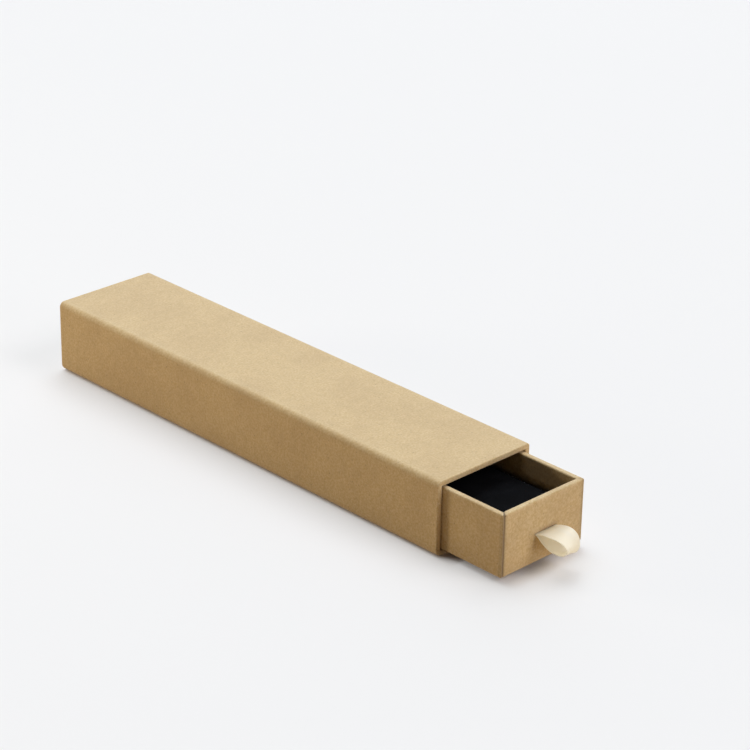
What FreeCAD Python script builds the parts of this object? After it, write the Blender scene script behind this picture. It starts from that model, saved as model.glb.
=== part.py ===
import FreeCAD, Part
import os
from FreeCAD import Vector

# Sliding drawer gift box: a drawer with a black pad slides in an open-ended sleeve.
# Both are greyboard covered with kraft paper, and a satin ribbon loop pulls the drawer.
# Millimetres. +Z is up, the pull faces -Y, and X runs across the box.
# The origin is the middle of the sleeve's underside. The drawer is drawn part open.

# Board, paper and cloth
board_thickness = 1.8
paper_thickness = 0.2
tape_thickness = 0.1
velvet_thickness = 0.6
ribbon_thickness = 0.3

# Sleeve
sleeve_width = 45.0
sleeve_height = 28.6
sleeve_length = 204.0
sleeve_corner_radius = 2.4
sleeve_turn_in = 15.0
lip_bevel = 0.3
least_corner_radius = 0.2
butt_gap = 0.2
sleeve_joint_from_side = 12.0
sleeve_tape_width = 16.0
lap_line_from_side = 7.0
lap_line_width = 0.3
lap_line_depth = 0.1

# Drawer
slide_gap = 0.3
drawer_open = 27.5
drawer_shortfall = 0.6
drawer_turn_in = 11.0
drawer_edge_radius = 0.45
score_depth = 0.9
stay_leg = 10.0
seam_from_corner = 0.9
seam_line_width = 0.2
seam_line_depth = 0.1

# Slit and ribbon
ribbon_width = 10.2
ribbon_offset = 1.6
slit_height = 1.2
slit_side_gap = 0.3
slit_level_share = 0.445
tail_above_floor = 1.2
loop_reach = 14.3
loop_root_gap = 0.4
loop_strand_gap = 0.2
patch_margin = 2.5

# Middle line of the ribbon along its left and right edges, out from the panel and up
# from the slit, as shares of the loop's reach. The right edge reaches less and hangs lower.
left_edge_shares = (
    (0.18, 0.066), (0.40, 0.085), (0.63, 0.102), (0.86, 0.078), (0.975, 0.010),
    (0.985, -0.095), (0.90, -0.195), (0.76, -0.250), (0.60, -0.268), (0.42, -0.245),
    (0.22, -0.155),
)
right_edge_shares = (
    (0.18, 0.072), (0.36, 0.112), (0.54, 0.098), (0.68, 0.010), (0.745, -0.130),
    (0.74, -0.290), (0.66, -0.435), (0.52, -0.510), (0.38, -0.455), (0.25, -0.310),
    (0.12, -0.130),
)

# Pad
pad_height = 13.3
pad_crown = 0.5
pad_side_draw = 0.25
pad_shoulder_radius = 1.6
pad_gap = 0.3
velvet_turn_under = 8.0

# Reach of cutting tools past the faces that they cut, and how near counts as level
overrun = 1.0
near = 0.01

# Half a square's diagonal as a share of its side
diagonal_share = 2 ** -0.5

# Levels and widths that follow from the sizes above
wall = board_thickness + 2 * paper_thickness
bore_width = sleeve_width - 2 * wall
bore_height = sleeve_height - 2 * wall
drawer_width = bore_width - 2 * slide_gap
drawer_height = bore_height - 2 * slide_gap
drawer_length = sleeve_length - drawer_shortfall
drawer_bottom = wall + slide_gap
drawer_rim = drawer_bottom + drawer_height
drawer_front = -sleeve_length / 2 - drawer_open
drawer_back = drawer_front + drawer_length
drawer_floor = drawer_bottom + paper_thickness + board_thickness
slit_level = drawer_bottom + drawer_height * slit_level_share


def block(x_low, x_high, y_low, y_high, z_low, z_high):
    """A rectangular solid between two corners."""
    corner = Vector(x_low, y_low, z_low)
    return Part.makeBox(x_high - x_low, y_high - y_low, z_high - z_low, corner)


def sleeve_prism(inset, half_length):
    """The solid inside the sleeve's rounded outline, drawn in by inset from its outside."""
    half = sleeve_width / 2 - inset
    solid = block(-half, half, -half_length, half_length, inset, sleeve_height - inset)
    long_edges = [edge for edge in solid.Edges if edge.BoundBox.YLength > half_length]
    radius = max(sleeve_corner_radius - inset, least_corner_radius)
    return solid.makeFillet(radius, long_edges)


def end_edges(solid, level):
    """The edges of a solid that lie in the plane y = level."""
    found = []
    for edge in solid.Edges:
        box = edge.BoundBox
        if max(abs(box.YMin - level), abs(box.YMax - level)) < near:
            found.append(edge)
    return found


def sleeve_tape_block():
    """The gummed tape over the board tube's joint, pressed flush into its underside."""
    joint = sleeve_width / 2 - sleeve_joint_from_side
    half = sleeve_tape_width / 2
    reach = sleeve_length / 2 - paper_thickness
    base = paper_thickness
    return block(joint - half, joint + half, -reach, reach, base, base + tape_thickness)


def make_sleeve_board():
    """Greyboard creased along its long edges and closed to a tube with one butt joint."""
    reach = sleeve_length / 2 - paper_thickness
    outside = sleeve_prism(paper_thickness, reach)
    inside = sleeve_prism(paper_thickness + board_thickness, reach + overrun)
    joint = sleeve_width / 2 - sleeve_joint_from_side
    gap = block(
        joint - butt_gap / 2, joint + butt_gap / 2, -reach - overrun, reach + overrun,
        0, sleeve_height / 2,
    )
    return outside.cut(inside).cut(gap).cut(sleeve_tape_block())


def make_sleeve_wrap():
    """Kraft paper round the tube, folded over both end lips and turned into the bore."""
    half = sleeve_length / 2
    outside = sleeve_prism(0, half)
    bore = sleeve_prism(wall, half + overrun)
    shell = outside.cut(bore)
    for level in (-half, half):
        shell = shell.makeChamfer(lip_bevel, end_edges(shell, level))
    board_space = sleeve_prism(paper_thickness, half - paper_thickness)
    board_bore = sleeve_prism(paper_thickness + board_thickness, half)
    lining_space = sleeve_prism(paper_thickness + board_thickness, half - sleeve_turn_in)
    lining_bore = sleeve_prism(wall, half)
    shell = shell.cut(board_space.cut(board_bore))
    shell = shell.cut(lining_space.cut(lining_bore))
    lap = -sleeve_width / 2 + lap_line_from_side
    line = block(
        lap, lap + lap_line_width, -half - overrun, half + overrun, -overrun, lap_line_depth
    )
    return shell.cut(line)


def make_sleeve_lining():
    """The paper that lines the bore between the two turn-ins."""
    half = sleeve_length / 2 - sleeve_turn_in
    outside = sleeve_prism(paper_thickness + board_thickness, half)
    return outside.cut(sleeve_prism(wall, half + overrun))


def drawer_block(inset, z_low, z_high):
    """A block inside the drawer's outline, drawn in by inset on all four sides."""
    half = drawer_width / 2 - inset
    return block(-half, half, drawer_front + inset, drawer_back - inset, z_low, z_high)


def slit_block(y_low, y_high):
    """The slit in the front panel that the ribbon goes through."""
    half = ribbon_width / 2 + slit_side_gap
    low = slit_level - slit_height / 2
    return block(
        ribbon_offset - half, ribbon_offset + half, y_low, y_high, low, low + slit_height
    )


def make_corner_stay(side, end):
    """A paper stay folded round one upright corner of the drawer's board."""
    corner_x = side * (drawer_width / 2 - paper_thickness)
    middle_y = (drawer_front + drawer_back) / 2
    corner_y = middle_y + end * (drawer_length / 2 - paper_thickness)
    low = drawer_bottom + paper_thickness + score_depth
    high = drawer_rim - paper_thickness

    outline = (
        (0, 0), (stay_leg, 0), (stay_leg, tape_thickness), (tape_thickness, tape_thickness),
        (tape_thickness, stay_leg), (0, stay_leg), (0, 0),
    )
    points = [Vector(corner_x - side * x, corner_y - end * y, low) for x, y in outline]
    return Part.Face(Part.makePolygon(points)).extrude(Vector(0, 0, high - low))


# Which side and end of the drawer each corner stay is on
corner_shares = {
    "corner_stay_front_left": (-1, -1),
    "corner_stay_front_right": (1, -1),
    "corner_stay_back_left": (-1, 1),
    "corner_stay_back_right": (1, 1),
}


def make_drawer_board():
    """One cross-shaped greyboard blank, half cut under its folds, with four walls up."""
    low = drawer_bottom + paper_thickness
    high = drawer_rim - paper_thickness
    board = drawer_block(paper_thickness, low, high)
    inner_inset = paper_thickness + board_thickness
    board = board.cut(drawer_block(inner_inset, drawer_floor, high + overrun))
    core = drawer_block(paper_thickness + score_depth, low - overrun, low + score_depth)
    rebate = drawer_block(0, low - overrun, low + score_depth).cut(core)
    board = board.cut(rebate)
    side_face = drawer_width / 2 - inner_inset
    for side in (-1, 1):
        x_values = sorted((side * side_face, side * (side_face - butt_gap)))
        for y_low in (drawer_front, drawer_back - inner_inset):
            joint = block(*x_values, y_low, y_low + inner_inset, drawer_floor, high + overrun)
            board = board.cut(joint)
    board = board.cut(slit_block(drawer_front - overrun, drawer_front + wall + overrun))
    for side, end in corner_shares.values():
        board = board.cut(make_corner_stay(side, end))
    return board


def make_drawer_wrap():
    """Kraft paper under and round the drawer, folded over its rim and turned in."""
    envelope = drawer_block(0, drawer_bottom, drawer_rim)
    envelope = envelope.makeFillet(drawer_edge_radius, envelope.Edges)
    wrap = envelope.cut(drawer_block(wall, drawer_bottom + paper_thickness, drawer_rim + overrun))
    rim_edges = []
    for edge in wrap.Edges:
        middle = edge.BoundBox.Center
        side_inset = drawer_width / 2 - abs(middle.x)
        end_inset = drawer_length / 2 - abs(middle.y - (drawer_front + drawer_back) / 2)
        if middle.z > drawer_rim - near and min(side_inset, end_inset) > wall / 2:
            rim_edges.append(edge)
    wrap = wrap.makeFillet(drawer_edge_radius, rim_edges)
    turn_in_end = drawer_rim - drawer_turn_in
    board_space = drawer_block(
        paper_thickness, drawer_bottom + paper_thickness, drawer_rim - paper_thickness
    )
    turned_in = drawer_block(paper_thickness + board_thickness, turn_in_end, drawer_rim)
    wrap = wrap.cut(board_space.cut(turned_in))
    wrap = wrap.cut(slit_block(drawer_front - overrun, drawer_front + wall + overrun))
    for side in (-1, 1):
        seam = side * (drawer_width / 2 - seam_from_corner)
        x_values = sorted((seam, seam - side * seam_line_width))
        for face, inward in ((drawer_front, 1), (drawer_back, -1)):
            y_values = sorted((face - inward * overrun, face + inward * seam_line_depth))
            down = block(*x_values, *y_values, drawer_bottom - overrun, drawer_rim + overrun)
            y_values = sorted((face, face + inward * wall))
            over = block(
                *x_values, *y_values, drawer_rim - seam_line_depth, drawer_rim + overrun
            )
            wrap = wrap.cut(down).cut(over)
    return wrap


def ribbon_span():
    """The ribbon's left and right edges."""
    return ribbon_offset - ribbon_width / 2, ribbon_offset + ribbon_width / 2


def make_ribbon_tails():
    """Both ends of the ribbon, through the slit and down the inside of the front panel."""
    left, right = ribbon_span()
    stack = 2 * ribbon_thickness
    inner_face = drawer_front + paper_thickness + board_thickness
    low = slit_level - ribbon_thickness
    tip = drawer_floor + tail_above_floor
    outline = [
        Vector(left, inner_face + stack, low),
        Vector(left, inner_face + stack, tip),
        Vector(left, inner_face, tip),
        Vector(left, inner_face, low),
        Vector(left, drawer_front, low),
        Vector(left, drawer_front, low + stack),
        Vector(left, inner_face, low + stack),
    ]
    turn = Vector(left, inner_face + stack * diagonal_share, low + stack * diagonal_share)
    edges = [Part.LineSegment(*pair).toShape() for pair in zip(outline, outline[1:])]
    edges.append(Part.Arc(outline[-1], turn, outline[0]).toShape())
    return Part.Face(Part.Wire(edges)).extrude(Vector(right - left, 0, 0))


def patch_depth():
    """How far the patch over the ribbon's tails stands in from the board."""
    return 2 * ribbon_thickness + paper_thickness


def make_ribbon_patch():
    """The paper patch that is glued over the ribbon's tails."""
    left, right = ribbon_span()
    inner_face = drawer_front + paper_thickness + board_thickness
    top = slit_level - slit_height
    patch = block(
        left - patch_margin, right + patch_margin, inner_face, inner_face + patch_depth(),
        drawer_floor, top,
    )
    tail_space = block(
        left, right, inner_face, inner_face + 2 * ribbon_thickness,
        drawer_floor + tail_above_floor, top + overrun,
    )
    return patch.cut(tail_space)


def ribbon_edge_wire(shares, x):
    """The ribbon's closed outline in the plane of one of its edges."""
    half_thickness = ribbon_thickness / 2
    root_rise = half_thickness + loop_strand_gap / 2
    points = [(loop_root_gap, root_rise)]
    points += [(out * loop_reach, rise * loop_reach) for out, rise in shares]
    points.append((loop_root_gap, -root_rise))
    outer = []
    inner = []
    last = len(points) - 1
    for index, (out, rise) in enumerate(points):
        before = points[max(index - 1, 0)]
        after = points[min(index + 1, last)]
        along = Vector(0, before[0] - after[0], after[1] - before[1])
        if index in (0, last):
            along.z = 0
        across = Vector(0, along.z, -along.y).normalize()
        centre = Vector(x, drawer_front - out, slit_level + rise)
        outer.append(centre + across * half_thickness)
        inner.append(centre - across * half_thickness)
    outer_curve = Part.BSplineCurve()
    outer_curve.interpolate(outer)
    inner_curve = Part.BSplineCurve()
    inner_curve.interpolate(list(reversed(inner)))
    edges = [
        outer_curve.toShape(),
        Part.LineSegment(outer[-1], inner[-1]).toShape(),
        inner_curve.toShape(),
        Part.LineSegment(inner[0], outer[0]).toShape(),
    ]
    return Part.Wire(edges)


def make_pull_ribbon():
    """The free loop of the ribbon, which hangs out of the slit with a slight twist."""
    left, right = ribbon_span()
    wires = [
        ribbon_edge_wire(left_edge_shares, left),
        ribbon_edge_wire(right_edge_shares, right),
    ]
    return Part.makeLoft(wires, True, True)


def pad_solid(inset):
    """The pad's crowned shape with drawn-in sides, its outside drawn in by inset."""
    half = drawer_width / 2 - wall - pad_gap - inset
    inner_face = drawer_front + paper_thickness + board_thickness
    front = inner_face + patch_depth() + pad_gap + inset
    back = drawer_back - wall - pad_gap - inset
    low = drawer_floor + inset
    shoulder = drawer_floor + pad_height - inset
    middle = (low + shoulder) / 2
    top = shoulder + pad_crown
    drawn = half - pad_side_draw
    edges = [
        Part.LineSegment(Vector(-half, front, low), Vector(half, front, low)).toShape(),
        Part.Arc(
            Vector(half, front, low), Vector(drawn, front, middle), Vector(half, front, shoulder)
        ).toShape(),
        Part.Arc(
            Vector(half, front, shoulder), Vector(0, front, top), Vector(-half, front, shoulder)
        ).toShape(),
        Part.Arc(
            Vector(-half, front, shoulder), Vector(-drawn, front, middle),
            Vector(-half, front, low),
        ).toShape(),
    ]
    solid = Part.Face(Part.Wire(edges)).extrude(Vector(0, back - front, 0))
    rounded = []
    for edge in solid.Edges:
        box = edge.BoundBox
        if box.ZMin > middle:
            rounded.append(edge)
    return solid.makeFillet(pad_shoulder_radius - inset, rounded)


def make_foam_pad():
    """The foam block inside the velvet."""
    return pad_solid(velvet_thickness)


def make_pad_cover():
    """Black velvet over the foam, turned under it and open in the middle below."""
    cover = pad_solid(0).cut(pad_solid(velvet_thickness))
    half = drawer_width / 2 - wall - pad_gap - velvet_turn_under
    window = block(
        -half, half, drawer_front + wall + velvet_turn_under, drawer_back - wall - velvet_turn_under,
        drawer_floor - overrun, drawer_floor + velvet_thickness,
    )
    return cover.cut(window)


makers = {
    "sleeve_board": make_sleeve_board,
    "sleeve_seam_tape": sleeve_tape_block,
    "sleeve_wrap": make_sleeve_wrap,
    "sleeve_lining": make_sleeve_lining,
    "drawer_board": make_drawer_board,
    "drawer_wrap": make_drawer_wrap,
    "ribbon_tails": make_ribbon_tails,
    "ribbon_patch": make_ribbon_patch,
    "pull_ribbon": make_pull_ribbon,
    "foam_pad": make_foam_pad,
    "pad_cover": make_pad_cover,
}

os.makedirs("parts", exist_ok=True)
for node, maker in makers.items():
    maker().exportStep("parts/" + node + ".step")
for node, (side, end) in corner_shares.items():
    make_corner_stay(side, end).exportStep("parts/" + node + ".step")
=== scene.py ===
import math

import bmesh
import bpy
from bpy.props import FloatProperty, FloatVectorProperty, IntProperty, PointerProperty
from mathutils import Matrix, Vector, noise


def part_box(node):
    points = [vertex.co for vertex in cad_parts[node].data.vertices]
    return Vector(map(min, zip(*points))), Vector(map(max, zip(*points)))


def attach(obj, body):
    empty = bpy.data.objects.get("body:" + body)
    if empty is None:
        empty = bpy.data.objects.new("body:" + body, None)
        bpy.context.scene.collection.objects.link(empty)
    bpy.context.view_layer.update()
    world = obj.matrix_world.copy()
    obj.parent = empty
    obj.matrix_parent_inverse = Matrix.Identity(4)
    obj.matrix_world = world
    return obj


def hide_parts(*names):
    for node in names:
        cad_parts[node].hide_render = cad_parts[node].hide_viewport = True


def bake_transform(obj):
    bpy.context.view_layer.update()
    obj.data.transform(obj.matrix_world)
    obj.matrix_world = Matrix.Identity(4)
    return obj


bl_info = {
    "name": "Sliding Drawer Gift Box",
    "version": (1, 0, 0),
    "blender": (4, 5, 0),
    "location": "View3D > Sidebar > Gift Box",
    "description": "Kraft covers, velvet pad and satin pull for a sliding drawer gift box",
    "category": "Add Mesh",
}

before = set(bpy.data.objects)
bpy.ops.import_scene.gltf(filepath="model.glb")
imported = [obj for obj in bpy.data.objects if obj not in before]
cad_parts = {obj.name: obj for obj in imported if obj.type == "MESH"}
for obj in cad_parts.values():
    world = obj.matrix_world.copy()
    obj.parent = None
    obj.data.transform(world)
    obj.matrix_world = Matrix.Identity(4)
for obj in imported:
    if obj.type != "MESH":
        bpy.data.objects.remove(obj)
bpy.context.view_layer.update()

MM = 0.001
TINY = 0.01 * MM

# The frame's own sizes. The sleeve is long in Y, and the drawer's pull end faces -Y.
sleeve_low, sleeve_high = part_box("sleeve_wrap")
drawer_low, drawer_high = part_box("drawer_wrap")
pad_low, pad_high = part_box("pad_cover")
tails_low, tails_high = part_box("ribbon_tails")
lining_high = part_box("sleeve_lining")[1]
board_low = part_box("drawer_board")[0]


def length(name, description, default):
    """A size that a user may change, in metres."""
    return FloatProperty(
        name=name, description=description, default=default, min=0.0, unit="LENGTH", precision=5
    )


def share(name, description, default):
    """A plain number that a user may change, from nothing to one."""
    return FloatProperty(
        name=name, description=description, default=default, min=0.0, max=1.0, subtype="FACTOR"
    )


def power(name, description, default):
    """The power of a lamp, in watts."""
    return FloatProperty(
        name=name, description=description, default=default, min=0.0, unit="POWER"
    )


def colour(name, description, default):
    """A colour that a user may change."""
    return FloatVectorProperty(
        name=name, description=description, default=default, size=3, min=0.0, max=1.0,
        subtype="COLOR",
    )


class PaperSettings(bpy.types.PropertyGroup):
    """Colours of the papers and the board"""

    kraft: colour("Kraft", "Main colour of the kraft paper", (0.55, 0.355, 0.14))
    kraft_pale: colour("Kraft pale fibre", "Pale fibres in the kraft paper", (0.72, 0.545, 0.31))
    kraft_dark: colour("Kraft dark fibre", "Dark fibres in the kraft paper", (0.34, 0.19, 0.072))
    lining: colour("Lining", "Paper inside the sleeve", (0.50, 0.36, 0.20))
    board: colour("Greyboard", "Recycled grey board", (0.33, 0.31, 0.27))
    tape: colour("Stay tape", "Gummed paper tape", (0.46, 0.31, 0.16))
    grain_size: length("Grain size", "Size of the grain in the paper", 0.75 * MM)
    grain_height: length("Grain height", "Height of the paper's fibres", 0.045 * MM)
    rub: share("Rub", "How much paler handling has made the edges", 0.55)


class SleeveSettings(bpy.types.PropertyGroup):
    """Sizes of the sleeve's paper cover"""

    near_radius: length("Near top radius", "Radius of the top long edge at -X", 2.1 * MM)
    far_radius: length("Far top radius", "Radius of the top long edge at +X", 1.3 * MM)
    near_base_radius: length("Near base radius", "Radius of the long edge below at -X", 2.7 * MM)
    base_radius: length("Far base radius", "Radius of the long edge below at +X", 2.0 * MM)
    lip_radius: length("Lip radius", "Radius of the folded paper outside both mouths", 0.5 * MM)
    throat_radius: length("Throat radius", "Radius inside both mouths, worn by use", 0.65 * MM)
    paper: length("Paper thickness", "Thickness of the kraft paper", 0.2 * MM)
    swell: length("Crease swell", "How far the creased edges stand proud of the sides", 0.1 * MM)
    ripple: length("Ripple", "Height of the faint unevenness of the board", 0.07 * MM)
    # Painted shade: how dark the paper is painted in each throat and just inside each mouth, where
    # shade falls in the gap round the drawer.
    throat_shade: share("Throat shade", "How dark the paper is where it turns in behind each lip", 0.4)


class DrawerSettings(bpy.types.PropertyGroup):
    """Sizes of the drawer's paper cover"""

    edge_radius: length("Edge radius", "Radius of the drawer's outer edges", 0.45 * MM)
    rim_radius: length("Rim radius", "Radius of the paper folded over the rim", 0.6 * MM)
    turn_in: length("Turn-in", "How far the paper goes down inside the walls", 11 * MM)
    under: length("Under", "How far the paper's rings go in under the bottom", 18.6 * MM)
    board: length("Board thickness", "Thickness of the drawer's greyboard", 1.8 * MM)
    ripple: length("Ripple", "Height of the faint unevenness of the board", 0.06 * MM)
    seam: length("Seam place", "From the corner to the middle of the end flap's seam", 0.85 * MM)
    flap: length("Flap step", "How far the end flap stands proud beside its seam", 0.16 * MM)
    slit_height: length("Slit height", "Height of the slit for the ribbon", 0.8 * MM)
    slit_gap: length("Slit gap", "Room at each side of the ribbon in its slit", 0.3 * MM)


class PadSettings(bpy.types.PropertyGroup):
    """Sizes and colours of the velvet pad"""

    velvet: length("Velvet thickness", "Thickness of the velvet", 0.5 * MM)
    turn_under: length("Turn-under", "How far the velvet goes in below the foam", 8 * MM)
    crown: length("Crown", "How far the middle stands above the edges", 0.5 * MM)
    draw: length("Side draw", "How far the sides pull in at half height", 0.3 * MM)
    shoulder: length("Shoulder radius", "Radius of the pad's top edges", 1.7 * MM)
    slack: length("Slack", "How much smaller the cover starts before air swells it", 0.15 * MM)
    swell: length("Swell", "The most that a point of the cover may move", 0.4 * MM)
    cloth_step: length("Cloth step", "Distance between the points of the cover as cloth", 2 * MM)
    air: FloatProperty(
        name="Air", description="Pressure that swells the cover", default=0.4, min=0.0
    )
    steps: IntProperty(
        name="Steps", description="How many frames the air has to swell the cover", default=20,
        min=1,
    )
    nap: length("Nap", "Size of the patches in which the pile lies one way", 9 * MM)
    tuft: length("Tuft", "Size of the pile's tufts", 0.28 * MM)
    pile_height: length("Pile height", "Height of the velvet pile", 0.12 * MM)
    pore: length("Pore", "Size of the foam's pores", 0.7 * MM)
    pore_depth: length("Pore depth", "Depth of the foam's pores", 0.3 * MM)
    pile: colour("Pile", "Colour of the velvet pile", (0.0022, 0.0022, 0.0026))
    foam: colour("Foam", "Colour of the foam", (0.020, 0.020, 0.022))


class RibbonSettings(bpy.types.PropertyGroup):
    """Sizes and colours of the satin pull"""

    thickness: length("Thickness", "Thickness of the ribbon at its woven edges", 0.3 * MM)
    cup: length("Cup", "How far the ribbon curls across its width", 0.12 * MM)
    reach: length("Loop reach", "How far the loop stands out from the drawer", 14.3 * MM)
    thread_height: length("Thread height", "Height of the ribbon's threads", 0.02 * MM)
    bend: length("Bend", "How far from the slit the ribbon bends as it swings", 2.5 * MM)
    satin: colour("Satin", "Colour of the ribbon", (0.87, 0.91, 0.94))
    shade: colour("Satin shade", "Colour between the threads", (0.92, 0.875, 0.79))
    glow: colour("Satin glow", "Colour of the light that comes through", (1.0, 0.94, 0.80))
    sheer: share("Sheer", "How much of the ribbon's brightness comes through it", 0.6)


class StageSettings(bpy.types.PropertyGroup):
    """Camera, floor and lamps"""

    stand: FloatVectorProperty(
        name="Camera place", description="Where the camera stands", subtype="TRANSLATION",
        unit="LENGTH", default=(-0.58581, -0.64161, 0.43094), size=3, precision=5,
    )
    lens: FloatProperty(
        name="Lens", description="Focal length of the camera", default=126.29, min=10.0,
        subtype="DISTANCE_CAMERA",
    )
    azimuth: FloatProperty(
        name="Azimuth", description="Turn of the camera round the box",
        default=math.radians(-44.631), subtype="ANGLE",
    )
    elevation: FloatProperty(
        name="Elevation", description="Height of the camera's view", subtype="ANGLE",
        default=math.radians(24.969),
    )
    roll: FloatProperty(
        name="Roll", description="Tilt of the camera", default=math.radians(1.0707),
        subtype="ANGLE",
    )
    floor: colour("Floor", "Colour of the floor", (0.87, 0.82, 0.79))
    bounce: colour("Floor glow", "Colour that lights the box from below", (0.58, 0.44, 0.29))
    backdrop: colour("Backdrop", "What shows behind the floor", (0.90, 0.90, 0.90))
    veil: share("Floor veil", "How much of the backdrop's tone lies over the shadows", 0.52)
    shadow_reach: length("Shadow reach", "How far the box keeps the floor's shadow deep", 8 * MM)
    shadow_way: FloatVectorProperty(
        name="Shadow way", description="Way in which the floor looks for the box over it",
        default=(-0.35, 0.9, 0.25), size=3, subtype="DIRECTION",
    )
    floor_size: length("Floor size", "From the middle of the floor to its sides", 6.0)
    sky_strength: share("Sky strength", "Strength of the soft light from all round", 0.01)
    key: colour("Key colour", "Colour of the four upper lamps", (0.83, 0.92, 1.0))
    plain: colour("Front colour", "Colour of the two lamps in front", (0.94, 0.955, 1.0))
    warm: colour("Side colour", "Colour of the lamp on the left", (1.0, 0.91, 0.72))
    key_power: power("Key power", "Lamp above on the right", 240.0)
    over_power: power("Overhead power", "Lamp high above the box", 126.0)
    top_power: power("Top power", "Lamp above at the back", 80.0)
    back_power: power("Back power", "Low lamp at the back right", 72.0)
    front_power: power("Front power", "Lamp at the front right", 126.0)
    fill_power: power("Fill power", "Small low lamp in front", 5.85)
    side_power: power("Side power", "Small low lamp at the back left", 1.6)


def smooth_step(value, low, high):
    """Rises smoothly from 0 at low to 1 at high."""
    place = min(max((value - low) / (high - low), 0.0), 1.0)
    return place * place * (3 - 2 * place)


def board_wave(point, face, waves, shift):
    """The board's faint unevenness at a point, with so many waves to a metre, and other waves
    on each face."""
    return noise.noise(point * waves + face * shift)


def arc_points(centre, radius, start, end, steps):
    """Points on an arc between two angles in degrees, with the outward direction of each."""
    points = []
    for step in range(steps + 1):
        angle = math.radians(start + (end - start) * step / steps)
        turn = (math.cos(angle), math.sin(angle))
        points.append((centre[0] + radius * turn[0], centre[1] + radius * turn[1], *turn))
    return points


def side_places(reach, step, close=(), also=()):
    """Places along a side from -reach to reach: close to its ends, where asked, and between."""
    fixed = [-reach + gap for gap in close] + [reach - gap for gap in close] + list(also)
    count = max(int(2 * reach / step), 1)
    places = list(fixed)
    for index in range(1, count):
        place = reach * (2 * index / count - 1)
        if all(abs(place - other) > step / 2 for other in fixed):
            places.append(place)
    return sorted(places)


def ring_stations(half_a, half_b, radius, places_a, places_b, turn_steps):
    """Stations round a rounded rectangle: a share of each half side, and the way outward."""
    reach_a, reach_b = half_a - radius, half_b - radius
    sides = (
        [(1, place / reach_b, 1, 0) for place in places_b],
        [(place / reach_a, 1, 0, 1) for place in reversed(places_a)],
        [(-1, place / reach_b, -1, 0) for place in reversed(places_b)],
        [(place / reach_a, -1, 0, -1) for place in places_a],
    )
    corners = ((1, 1), (-1, 1), (-1, -1), (1, -1))
    stations = []
    for quarter, (side, corner) in enumerate(zip(sides, corners)):
        stations += side
        for step in range(turn_steps + 1):
            angle = (quarter + step / turn_steps) * math.pi / 2
            stations.append((*corner, math.cos(angle), math.sin(angle)))
    return stations


def ring_place(station, half_a, half_b, radii, inset):
    """Where a station is on the ring that lies inset inside the rounded rectangle. radii are
    those of the corners at +a +b, -a +b, -a -b and +a -b."""
    share_a, share_b, way_a, way_b = station
    sharpest = 0.05 * MM
    part_a, part_b = (1 + share_a) / 2, (1 + share_b) / 2
    above = radii[1] + (radii[0] - radii[1]) * part_a
    below = radii[2] + (radii[3] - radii[2]) * part_a
    radius = below + (above - below) * part_b
    turn = min(max(radius - inset, sharpest), half_a - inset, half_b - inset)
    return (
        (half_a - inset - turn) * share_a + turn * way_a,
        (half_b - inset - turn) * share_b + turn * way_b,
    )


def half_sizes(low, high):
    """Half the size of a box each way."""
    return [(far - near) / 2 for near, far in zip(low, high)]


def to_corner(station, half_a, half_b, radius):
    """How far a station is from where its side starts to turn, and 0 on the turn."""
    share_a, share_b, way_a, way_b = station
    if way_a == 0:
        return (half_a - radius) * (1 - abs(share_a))
    return (half_b - radius) * (1 - abs(share_b)) if way_b == 0 else 0.0


def new_piece(name, mesh_source):
    """A new object in the scene from a bmesh, with smooth faces."""
    mesh = bpy.data.meshes.new(name)
    bmesh.ops.recalc_face_normals(mesh_source, faces=mesh_source.faces)
    for face in mesh_source.faces:
        face.smooth = True
    mesh_source.to_mesh(mesh)
    mesh_source.free()
    piece = bpy.data.objects.new(name, mesh)
    bpy.context.scene.collection.objects.link(piece)
    return piece


def wall_thickness(paper):
    """How thick a wall is: the board, and the paper on both its faces."""
    return sleeve_high.x - lining_high.x + paper


def ring_face(mesh_source, ring, after, index):
    """The face between two rings at one of their points."""
    beside = (index + 1) % len(ring)
    mesh_source.faces.new((ring[index], ring[beside], after[beside], after[index]))


def join_rings(mesh_source, rings, afters):
    """Faces between each ring and the one after it."""
    for ring, after in zip(rings, afters):
        for index in range(len(ring)):
            ring_face(mesh_source, ring, after, index)


def finish_piece(piece, material, body, slot, *nodes):
    """Gives a piece its material and body, and lets it stand for its CAD nodes. The slot is not
    used.
    """
    piece.data.materials.clear()
    piece.data.materials.append(material)
    if body:
        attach(piece, body)
    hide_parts(*nodes)


def take_shape(piece):
    """Makes what the piece's modifiers show its own mesh, and clears them."""
    evaluated = piece.evaluated_get(bpy.context.evaluated_depsgraph_get())
    mesh = bpy.data.meshes.new_from_object(evaluated)
    old = piece.data
    piece.modifiers.clear()
    piece.data = mesh
    mesh.name = piece.name
    bpy.data.meshes.remove(old)


# Room for one node in the editor.
NODE_WIDTH, NODE_HEIGHT = 200, 300


def feed(tree, node, inputs):
    """Gives a node its inputs: each is a socket to link from, a plain value or a colour."""
    for name, value in inputs.items():
        socket = node.inputs[name]
        if isinstance(value, bpy.types.NodeSocket):
            tree.links.new(value, socket)
            node.location.x = max(node.location.x, value.node.location.x + NODE_WIDTH)
        elif socket.type == "RGBA":
            socket.default_value = (*value, 1.0)
        else:
            socket.default_value = value


def add_node(tree, kind, inputs=None, **settings):
    """A shader node, placed to the right of the nodes that feed it."""
    node = tree.nodes.new(kind)
    for name, value in settings.items():
        setattr(node, name, value)
    feed(tree, node, inputs or {})
    above = sum(other.location.x == node.location.x for other in tree.nodes) - 1
    node.location.y = -NODE_HEIGHT * above
    return node


def noise_node(tree, vector, size, detail=2.0, roughness=0.5, **settings):
    """A noise texture whose blobs are about as large as size, in metres."""
    inputs = {"Vector": vector, "Scale": 1 / size, "Detail": detail, "Roughness": roughness}
    return add_node(tree, "ShaderNodeTexNoise", inputs, **settings).outputs["Fac"]


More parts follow.
